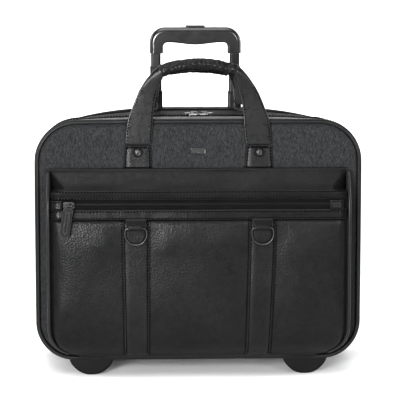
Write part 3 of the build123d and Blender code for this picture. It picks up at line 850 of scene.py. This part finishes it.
def pocket_surface(x, z):
    """The pocket's front: full between its seams, with the ends of its top folded in."""
    full = soft_profile(z)
    to_side = POCKET_HALF - abs(x)
    base = between(FRONT_Y, full, between(0.84, 1.0, smoothstep(to_side / (14 * MM))))
    belly = 3.0 * MM * (1 - (x / POCKET_HALF) ** 2) * math.exp(-((z - 105 * MM) / (55 * MM)) ** 2)
    high = math.exp(-((z - 178 * MM) / (26 * MM)) ** 2)
    puff = 2.2 * MM * high * bay(x) * smoothstep(to_side / (60 * MM))
    wave = 1.6 * MM * noise.noise(Vector((x * 9, 3.0, z * 12))) * bay(x) * smoothstep(to_side / (20 * MM))
    surface = base - belly - puff - wave
    if z > BAND_BOTTOM + 1.5 * MM:
        fold = noise.noise(Vector((x * 14, 7.0, z * 22))) * smoothstep((z - 250 * MM) / (8 * MM))
        surface -= 1.4 * MM * fold * smoothstep((POCKET_TOP - z) / (5 * MM))
        width = 22 * MM * smoothstep((POCKET_TOP + 2 * MM - z) / (28 * MM)) + 0.5 * MM
        tuck = max(0.0, 1 - to_side / width)
        drop = 0.42 * (FRONT_Y - full) * tuck * smoothstep((z - 246 * MM) / (5 * MM))
        surface = min(surface + drop, FRONT_Y - 1.5 * MM)
    return surface


def pocket_half_at(z):
    """How wide the pocket is at this height, with its rounded bottom corners."""
    rise = POCKET_BOTTOM + POCKET_CORNER - z
    if rise <= 0:
        return POCKET_HALF
    return POCKET_HALF - POCKET_CORNER + math.sqrt(max(0.0, POCKET_CORNER ** 2 - rise ** 2))


def patch(name, across, up, material, replaces, counts, lift=0.0):
    """A sheet of leather on the pocket's front with turned edges, closed behind.
    across and up are its ends in x and z."""
    (x0, x1), (z0, z1), (nx, nz) = across, up, counts
    front = []
    for j in range(nz + 1):
        for i in range(nx + 1):
            u, v = i / nx, j / nz
            x, z = between(x0, x1, u), between(z0, z1, v)
            rim = min(min(v, 1 - v) * abs(z1 - z0), min(u, 1 - u) * abs(x1 - x0))
            turned = 1.2 * MM * (1 - smoothstep(rim / (1.5 * MM)))
            front.append(Vector((x, pocket_surface(x, z) - lift + turned, z)))
    back = [p + Vector((0, 2 * MM, 0)) for p in front]
    faces = closed_sheet(len(front), nx, nz)
    return add_mesh(name, front + back, faces, material, "front_section", replaces)


def surface_line(x0, x1, z, lift):
    points = []
    for i in range(81):
        x = between(x0, x1, i / 80)
        points.append(Vector((x, pocket_surface(x, z) - lift, z)))
    return points


# --- pocket: its pieces ----------------------------------------------------------------------
def make_pocket():
    half = POCKET_HALF - 2 * MM
    zip_low, zip_high = SLOT_LOW.z + 0.4 * MM, SLOT_HIGH.z - 0.4 * MM
    patch("pocket_top_leather", (-half, half), (BAND_BOTTOM, POCKET_TOP), LEATHER_SMOOTH,
          ["pocket_top_band"], (130, 30))
    patch("pocket_placket_upper", (-half, half), (zip_high, PLACKET_TOP), LEATHER_SMOOTH,
          (), (130, 10), 0.9 * MM)
    patch("pocket_placket_lower", (-half, half), (PLACKET_BOTTOM, zip_low), LEATHER_SMOOTH,
          (), (130, 10), 0.9 * MM)
    patch("pocket_zip_cloth", (-half, half), (zip_low - 2 * MM, zip_high + 2 * MM), TAPE,
          ["pocket_zip_tape"], (110, 6), -1.4 * MM)
    pocket_coil((zip_low + zip_high) / 2)
    pocket_sides()
    panel = make_pocket_panel()
    reach = half - 3 * MM
    rows = [surface_line(-reach, reach, z * MM, 1.15 * MM) for z in (247.4, 239.4, 222.6, 214.2)]
    stitch_piece("pocket_placket_stitching", rows, "front_section")
    make_straps(panel)
    make_dring_loops()
    make_end_tabs()
    make_pull_details()


def make_pocket_panel():
    """The main panel of the pocket, filled out by cloth simulation between its seams."""
    nx, nz = 98, 48
    top = PANEL_TOP
    bottom = POCKET_BOTTOM - 3.5 * MM
    front = []
    back = []
    for j in range(nz + 1):
        z = between(bottom, top, j / nz)
        half = pocket_half_at(z) - 2.2 * MM
        for i in range(nx + 1):
            x = between(-half, half, i / nx)
            rim = min(half - abs(x), top - z)
            turned = 3.0 * MM * (1 - smoothstep(rim / (5 * MM)))
            surface = pocket_surface(x, z)
            front.append(Vector((x, surface + turned, z)))
            back.append(Vector((x, surface + 7 * MM, z)))
    count = len(front)
    faces = closed_sheet(count, nx, nz)
    panel = add_mesh("pocket_panel_leather", front + back, faces, LEATHER, "front_section",
                     ["pocket_front_panel"])

    def held(index, co):
        edge = pocket_half_at(co.z) - 5 * MM - abs(co.x)
        under_strap = bay(co.x) < 0.05
        return index >= count or edge < 0 or under_strap or co.z > top - 7 * MM or co.z < bottom + 4 * MM

    inflate(panel, 2.2, 3.2 * MM, held)
    return panel


def pocket_coil(middle):
    """The reverse coil's covered spine: a low ribbed ridge along the middle of the tape."""
    x0, x1 = 18 * MM - POCKET_HALF, 170 * MM
    steps = int((x1 - x0) / (1.2 * MM))
    verts = []
    for i in range(steps + 1):
        x = between(x0, x1, i / steps)
        swell = 0.2 * MM * (i % 2)
        for k in range(8):
            angle = math.pi * k / 7
            verts.append(Vector((
                x, pocket_surface(x, middle) + 1.3 * MM - (0.6 * MM + swell) * math.sin(angle),
                middle + (2.4 * MM + swell) * math.cos(angle),
            )))
    add_mesh("pocket_zip_coil", verts, capped_grid(steps + 1, 8), COIL, "front_section")


def side_path(side, inset, depth_share):
    """Down one side of the pocket and round its bottom corner."""
    points = []
    low = POCKET_BOTTOM + POCKET_CORNER
    for i in range(60):
        points.append((POCKET_HALF - inset, between(POCKET_TOP - 4 * MM, low, i / 59)))
    radius = POCKET_CORNER - inset
    for i in range(1, 17):
        angle = math.radians(84 * i / 16)
        x = POCKET_HALF - POCKET_CORNER + radius * math.cos(angle)
        points.append((x, low - radius * math.sin(angle)))
    return [Vector((side * x, between(FRONT_Y, soft_profile(z), depth_share), z)) for x, z in points]


def pocket_sides():
    """The pocket's side gussets, and the piping that stands along its edges."""
    for side, word in ((-1, "left"), (1, "right")):
        path = side_path(side, 0.9 * MM, 0.90)[:-3]
        tube_piece(f"pocket_piping_{word}", path, 2.3 * MM, LEATHER_PIPING, "front_section")
    rows = []
    for share, inset in ((0.04, 2.0), (0.4, 1.6), (0.80, 1.4), (0.80, 3.4), (0.4, 3.8), (0.04, 4.4)):
        left, right = side_path(-1, inset * MM, share), side_path(1, inset * MM, share)
        start, end = left[-1], right[-1]
        rows.append(left + [Vector((between(start.x, end.x, i / 40), start.y, start.z)) for i in range(1, 40)]
                    + right[::-1])
    verts = [p for row in rows for p in row]
    faces = capped_strip(len(rows), len(rows[0]))
    add_mesh("pocket_gusset_cloth", verts, faces, TWEED, "front_section", ["pocket_gusset"])


def make_straps(panel):
    """The two vertical leather straps sewn to the panel, with stitches on and beside each edge."""
    tree = tree_of(panel)
    count = 46
    lines = []
    for side, word, lean in ((-1, "left", 0.8 * MM), (1, "right", -4.5 * MM)):
        centre = []
        halves = []
        for i in range(count + 1):
            z = between(213 * MM, POCKET_BOTTOM + 0.5 * MM, i / count)
            centre.append((side * STRAP_X + lean * smoothstep(i / count), z))
            halves.append(between(17.0, 15.4, i / count) * MM)
        replaced = ["pocket_straps"] if side > 0 else ()
        ribbon_piece(f"pocket_strap_{word}", centre, halves, 1.5 * MM, tree, "front_section", LEATHER,
                     POCKET_FRONT, replaced)
        for edge in (-1, 1):
            for offset, lift in ((-2.0 * MM, 1.75 * MM), (1.5 * MM, 0.15 * MM)):
                lines.append([
                    on_front(tree, x + edge * (half + offset), z, lift, POCKET_FRONT)
                    for (x, z), half in zip(centre, halves)
                ])
    stitch_piece("pocket_strap_stitching", lines, "front_section",
                 pitch=3.8 * MM, length=2.5 * MM, radius=0.58 * MM)


def make_dring_loops():
    """Leather tabs that taper from the placket down to the D-rings' bars and turn round them.
    Each point of the path is (y, z, half width) in mm."""
    flat = [
        (-94.9, 214.5, 15.0), (-96.3, 211.0, 13.8), (-97.6, 208.0, 12.0), (-99.0, 205.0, 10.2),
        (-99.6, 203.2, 9.4),
    ]
    bar_y, bar_z, bar_turn, bar_half = -97.4, 201.4, 2.0, 9.0
    path = list(flat)
    for degrees in range(10, 171, 20):
        angle = math.radians(degrees)
        path.append((bar_y - bar_turn * math.cos(angle), bar_z - bar_turn * math.sin(angle), bar_half))
    sides = 14
    verts = []
    faces = []
    lines = []
    for side in (-1, 1):
        start = len(verts)
        for i, (y, z, half) in enumerate(path):
            before = path[max(0, i - 1)]
            after = path[min(len(path) - 1, i + 1)]
            along = Vector((0, after[0] - before[0], after[1] - before[1])).normalized()
            out = Vector((0, along.z, -along.y))
            for k in range(sides):
                across, lift = squared(turn(k, sides), 0.4, 0.5)
                place = Vector((side * STRAP_X + across * half * MM, y * MM, z * MM))
                verts.append(place + out * lift * 0.42 * MM)
        faces += capped_grid(len(path), sides, start)
        for edge in (-1, 1):
            lines.append([
                Vector((side * STRAP_X + edge * (half - 1.6) * MM, (y - 0.5) * MM, z * MM))
                for y, z, half in flat
            ])
    add_mesh("dring_loops_leather", verts, faces, LEATHER_SMOOTH, "front_section", ["dring_loops"])
    stitch_piece("dring_loop_stitching", lines, "front_section",
                 pitch=3.0 * MM, length=2.0 * MM, radius=0.4 * MM)


def make_end_tabs():
    """The leather ends that close the pocket zipper's slot, with a square of stitches on each."""
    low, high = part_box("pocket_zip_end_tabs")
    inset = 1.8 * MM
    runs = []
    for word, x0, x1 in (("left", low.x, -176.5 * MM), ("right", 169 * MM, 187 * MM)):
        replaced = ["pocket_zip_end_tabs"] if word == "left" else ()
        patch(f"zip_end_{word}", (x0, x1), (low.z, high.z), LEATHER, replaced, (16, 12), 1.8 * MM)
        corners = [(x0, low.z), (x1, low.z), (x1, high.z), (x0, high.z), (x0, low.z)]
        centre = ((x0 + x1) / 2, (low.z + high.z) / 2)
        line = []
        for (xa, za), (xb, zb) in zip(corners, corners[1:]):
            for i in range(6):
                x, z = between(xa, xb, i / 6), between(za, zb, i / 6)
                x -= math.copysign(min(inset, abs(x - centre[0])), x - centre[0])
                z -= math.copysign(min(inset, abs(z - centre[1])), z - centre[1])
                line.append(Vector((x, pocket_surface(x, z) - 2.1 * MM, z)))
        runs.append(line + line[:1])
    stitch_piece("zip_end_stitching", runs, "front_section",
                 pitch=3.2 * MM, length=2.1 * MM, radius=0.45 * MM)


def make_pull_details():
    """Raised edges and a middle ridge on the leather pull."""
    low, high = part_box("pocket_slider")
    pivot_x, pivot_z = (low.x + high.x) / 2, (SLOT_LOW.z + SLOT_HIGH.z) / 2
    tilt = math.radians(9)
    face_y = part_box("pocket_pull")[0].y - 0.1 * MM
    half, radius, top, bottom = 4.7 * MM, 3.4 * MM, -5.0 * MM, -38.6 * MM

    def place(x, z):
        return Vector((
            pivot_x + x * math.cos(tilt) + z * math.sin(tilt),
            face_y,
            pivot_z - x * math.sin(tilt) + z * math.cos(tilt),
        ))

    corners = (
        (half - radius, top - radius, 90), (half - radius, bottom + radius, 0),
        (-half + radius, bottom + radius, -90), (-half + radius, top - radius, -180),
    )
    loop = []
    for cx, cz, start in corners:
        for i in range(7):
            angle = math.radians(start - 90 * i / 6)
            loop.append(place(cx + radius * math.cos(angle), cz + radius * math.sin(angle)))
    tube_piece("pull_raised_edge", loop, 0.75 * MM, LEATHER, "pocket_pull", True)
    ridge = [place(0, between(top - 5 * MM, bottom + 5 * MM, i / 12)) for i in range(13)]
    tube_piece("pull_ridge", ridge, 0.6 * MM, LEATHER, "pocket_pull")


# --- carry handles ---------------------------------------------------------------------------
def strap_sections(half_width, base, rise):
    """The outer and inner edge of a handle's strap from its seam up into the grip, and its half thickness.
    Each row has a share of the rise, the edges as shares of the half width, the half thickness in mm, and
    how far the inner edge hangs lower than the outer one, as a share of the rise."""
    rows = (
        (0.00, 1.10, -1.17, 1.7, 0), (0.12, 1.05, -1.27, 1.7, 0), (0.23, 0.97, -1.34, 1.7, 0),
        (0.33, 0.83, -1.37, 1.7, 0), (0.42, 0.60, -1.41, 1.7, 0), (0.54, 0.27, -1.51, 1.8, 0.01),
        (0.64, -0.02, -1.62, 2.1, 0.03), (0.72, -0.33, -1.73, 2.8, 0.045), (0.80, -0.70, -1.87, 3.8, 0.07),
        (0.875, -1.08, -2.00, 5.0, 0.105), (0.935, -1.44, -2.08, 6.0, 0.135),
        (0.975, -1.76, -2.15, 6.8, 0.155), (0.99, -1.98, -2.22, 7.1, 0.165),
    )
    sections = []
    for share, outer, inner, thick, drop in rows:
        high = base + rise * share
        sections.append(((outer * half_width, high), (inner * half_width, high - drop * rise), thick * MM))
    return sections


def handle_strap(name, side, middle, y, sections, body, replaces):
    """A strap that is flat at its seam and closes round the grip's end; gives back its stitch lines."""
    sides = 24

    def place(edge):
        return Vector((side * (middle + edge[0]), y, edge[1]))

    fine = []
    for (o0, i0, t0), (o1, i1, t1) in zip(sections, sections[1:]):
        for share in (0, 0.25, 0.5, 0.75):
            outer = [between(a, b, share) for a, b in zip(o0, o1)]
            inner = [between(a, b, share) for a, b in zip(i0, i1)]
            fine.append((place(outer), place(inner), between(t0, t1, share)))
    outer, inner, thick = sections[-1]
    fine.append((place(outer), place(inner), thick))
    verts = []
    for a, b, thick in fine:
        power = between(0.28, 1.0, smoothstep((thick - 1.8 * MM) / (6 * MM)))
        for k in range(sides):
            across, lift = squared(turn(k, sides), power, power)
            verts.append((a + b) / 2 + (a - b) / 2 * across + Vector((0, -lift * thick, 0)))
    faces = capped_grid(len(fine), sides)
    subdivide(add_mesh(name, verts, faces, LEATHER_HANDLE, body, replaces))
    lines = ([], [])
    for a, b, thick in fine[2:30]:
        inset = (b - a).normalized() * 2.3 * MM
        forward = Vector((0, -thick - 0.05 * MM, 0))
        lines[0].append(a + inset + forward)
        lines[1].append(b - inset + forward)
    return list(lines)


def grip_piece(name, half, y, z, sag, radius, body, replaces):
    """A leather sleeve over the handle's core, wrinkled and drawn in at its ends."""
    sides, count = 28, 72
    verts = []
    for i in range(count + 1):
        t = between(-1, 1, i / count)
        centre = Vector((half * t, y, z - sag * t * t))
        slope = Vector((1, 0, -2 * sag * t / half)).normalized()
        up = slope.cross(FORWARD).normalized()
        if up.z < 0:
            up = -up
        rim = 1.0 + 0.05 * math.exp(-((abs(t) - 0.965) / 0.015) ** 2)
        tuck = 0.55 if abs(t) == 1 else 1.0
        for k in range(sides):
            angle = turn(k, sides)
            around = Vector((t * 9, math.cos(angle) * 1.3, math.sin(angle) * 1.3))
            crease = abs(noise.noise(around + Vector((4.2, 0, 1.1))))
            fold = 1.0 - 0.15 * max(0.0, 0.25 - crease) / 0.25 + 0.04 * noise.noise(around * 3)
            r = radius * rim * tuck * fold
            verts.append(centre + up * r * math.sin(angle) + FORWARD * r * math.cos(angle))
    faces = capped_grid(count + 1, sides)
    subdivide(add_mesh(name, verts, faces, LEATHER_GRIP, body, replaces))


def carry_handle(word, body, y, middle, half_width, base, grip, lift, sag):
    """Two straps and a sleeve; grip is the CAD grip's box and lift where the straps end below its top."""
    low, high = grip
    sections = strap_sections(half_width, base, high.z - lift - base)
    lines = []
    for side, hand in ((-1, "left"), (1, "right")):
        replaced = [f"{word}_handle_straps"] if side > 0 else ()
        lines += handle_strap(f"{word}_strap_{hand}", side, middle, y, sections, body, replaced)
    stitch_piece(f"{word}_strap_stitching", lines, body)
    grip_piece(f"{word}_grip_sleeve", high.x, y, (low.z + high.z) / 2, sag, (high.z - low.z) / 2, body,
               [f"{word}_handle_grip"])


def make_front_handle():
    carry_handle("front", "front_handle", FRONT_Y - 2.2 * MM, HANDLE_X, 15 * MM, SEW_TOP + 0.9 * MM,
                 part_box("front_handle_grip"), 8.4 * MM, 9 * MM)


def make_rear_handle():
    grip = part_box("rear_handle_grip")
    low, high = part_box("rear_handle_straps")
    carry_handle("rear", "rear_handle", (grip[0].y + grip[1].y) / 2, high.x - 12.5 * MM, 12.5 * MM, low.z,
                 grip, 5 * MM, 5 * MM)


# --- handle bases, rivets and plate ----------------------------------------------------------
def make_handle_bases():
    """The sewn lower ends of the carry handle's straps, with stitched edges, bartacks and rivets."""
    count = 16
    surface = FRONT_Y + 0.4 * MM
    runs = []
    tacks = []
    for side, word in ((-1, "left"), (1, "right")):
        centre = [(side * HANDLE_X, between(SEW_TOP, BASES_LOW.z, i / count)) for i in range(count + 1)]
        halves = [between(17.2, 19.0, i / count) * MM for i in range(count + 1)]
        replaced = ["front_handle_bases"] if side > 0 else ()
        ribbon_piece(f"handle_base_{word}", centre, halves, 3.0 * MM, None, "front_section", LEATHER_HANDLE,
                     surface, replaced)
        for edge in (-1, 1):
            runs.append([
                Vector((x + edge * (half - 2.8 * MM), surface - 3.1 * MM, z))
                for (x, z), half in list(zip(centre, halves))[2:]
            ])
        for row in range(3):
            z = SEW_TOP - (1.6 + 0.8 * row) * MM
            tacks.append([
                Vector((side * HANDLE_X + between(-13, 13, i / 10) * MM, surface - 3.15 * MM, z))
                for i in range(11)
            ])
        make_rivet(word, side)
    stitch_piece("handle_base_stitching", runs, "front_section")
    stitch_piece("handle_bartacks", tacks, "front_section", pitch=2.4 * MM, length=1.8 * MM, radius=0.6 * MM)


def lathe(name, centre, profile, stretch, material, replaces=()):
    """A round piece facing the front: profile is (radius, how far it stands forward) in mm."""
    sides = 32
    verts = []
    for radius, reach in profile:
        for k in range(sides):
            x, z = radius * math.cos(turn(k, sides)), radius * math.sin(turn(k, sides))
            verts.append(centre + Vector((x * MM, -reach * stretch, z * MM)))
    faces = capped_grid(len(profile), sides)
    return add_mesh(name, verts, faces, material, "front_section", replaces)


def make_rivet(word, side):
    low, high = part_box("handle_rivets")
    centre = Vector((side * HANDLE_X, BASES_LOW.y + 0.4 * MM, (low.z + high.z) / 2))
    stretch = (centre.y - low.y) / 2.0
    collar = [(5.9, 0.0), (6.2, 0.25), (6.1, 0.75), (5.5, 1.0), (4.9, 0.8), (4.6, 0.4)]
    cap = [(4.5, 0.2), (4.6, 0.8), (4.3, 1.5), (3.5, 1.9), (3.1, 1.75), (2.0, 1.9), (0.3, 2.0)]
    lathe(f"rivet_collar_{word}", centre, collar, stretch, BUSH)
    lathe(f"rivet_cap_{word}", centre, cap, stretch, GUNMETAL, ["handle_rivets"] if side > 0 else ())


def make_badge():
    """A plain oblong metal plate with rounded corners and a stepped rim."""
    centre = Vector((0, FRONT_Y - 0.2 * MM, between(SEW_TOP, BASES_LOW.z, 0.25)))
    profile = ((0.0, -0.6), (0.0, 0.7), (0.6, 1.3), (1.3, 1.3), (1.7, 1.0), (2.6, 1.0))
    sides = 40
    verts = []
    for inset, reach in profile:
        half_x, half_z, radius = 10.5 - inset, 4.2 - inset, max(0.6, 2.6 - inset)
        for k in range(sides):
            c, s = math.cos(turn(k, sides)), math.sin(turn(k, sides))
            x = math.copysign(half_x - radius, c) + radius * c
            z = math.copysign(half_z - radius, s) + radius * s
            verts.append(centre + Vector((x * MM, -reach * MM, z * MM)))
    add_mesh("plain_plate", verts, capped_grid(len(profile), sides), GUNMETAL, "front_section")


# --- inside: divider and side webs -----------------------------------------------------------
def make_divider():
    """The padded wall in front of the laptop: filled out by cloth simulation."""
    low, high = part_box("laptop_divider")
    nx, nz = 60, 42
    inset = 1.5 * MM
    points = []
    for y in (low.y + inset, high.y - inset):
        for j in range(nz + 1):
            z = between(low.z + inset, high.z - inset, j / nz)
            points += [Vector((between(low.x + inset, high.x - inset, i / nx), y, z)) for i in range(nx + 1)]
    faces = closed_sheet(len(points) // 2, nx, nz)
    pad = add_mesh("laptop_divider_pad", points, faces, LINING, "case", ["laptop_divider"])

    def held(_, co):
        across = abs((co.x - low.x) / (45 * MM) % 1 - 0.5) > 0.46
        rim = min(co.x - low.x, high.x - co.x, co.z - low.z, high.z - co.z) < 3 * MM
        return across or rim

    inflate(pad, 2.0, 1.4 * MM, held, 12)


def make_opening_web():
    """Pleated nylon webs that reach from the front section to the case at the sides of the opening; built in
    place, on no body.
    """
    y0, y1 = ZIP_FRONT_LOW.y + 2 * MM, ZIP_REAR_HIGH.y - 1 * MM
    low, high = OPENING_Z + 4 * MM, 236 * MM
    across, up, pleats = 30, 24, 5
    for side, word in ((-1, "left"), (1, "right")):
        front = []
        for j in range(up + 1):
            z = between(low, high, j / up)
            corner = max(0.0, BOTTOM + BOTTOM_RADIUS - z)
            wall = HALF - BOTTOM_RADIUS + math.sqrt(max(0.0, BOTTOM_RADIUS ** 2 - corner ** 2)) - 5 * MM
            deep = 12 * MM * smoothstep((z - low + 8 * MM) / (60 * MM))
            for i in range(across + 1):
                wave = abs(i / across * pleats % 1 - 0.5) * 2
                front.append(Vector((side * (wall - deep * (1 - wave)), between(y0, y1, i / across), z)))
        back = [p - Vector((side * 0.9 * MM, 0, 0)) for p in front]
        faces = closed_sheet(len(front), across, up)
        piece = add_mesh(f"opening_web_{word}", front + back, faces, NYLON_DARK, None)
        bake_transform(piece)


# --- carried-over CAD nodes ------------------------------------------------------------------
def dress_cad():
    """Gives every carried-over CAD node its procedural material."""
    dress = (
        (MOULDED, "front_feet wheel_housing_left wheel_housing_right trolley_bezel trolley_bottom_bracket"),
        (GRIP_PLASTIC, "grip_front_shell grip_rear_shell release_button"),
        (BUSH, "stage_a_collars stage_b_collars lock_blocks"),
        (TUBE, "trolley_outer_tubes stage_a_tubes stage_b_tubes stage_c_tubes"),
        (GUNMETAL, "dring_left dring_right rear_handle_rings pocket_slider"),
        (NICKEL, "main_slider_left main_slider_right main_pull_left main_pull_right"),
        (STEEL, "foot_screws housing_screws wheel_axles push_rods lock_pin_left lock_pin_right"),
        (STEEL, "bearings_left bearings_right"),
        (RUBBER, "tyre_left tyre_right"),
        (HUB, "hub_left hub_right"),
        (BOARD, "back_board base_board"),
        (LEATHER, "pocket_pull rear_handle_tabs"),
    )
    for material, nodes in dress:
        for node in nodes.split():
            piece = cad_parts[node]
            piece.data.materials.clear()
            piece.data.materials.append(material)


make_camera()
make_studio()
make_front_shell()
make_case()
make_pocket()
make_handle_bases()
make_badge()
make_front_handle()
make_rear_handle()
make_divider()
make_opening_web()
dress_cad()
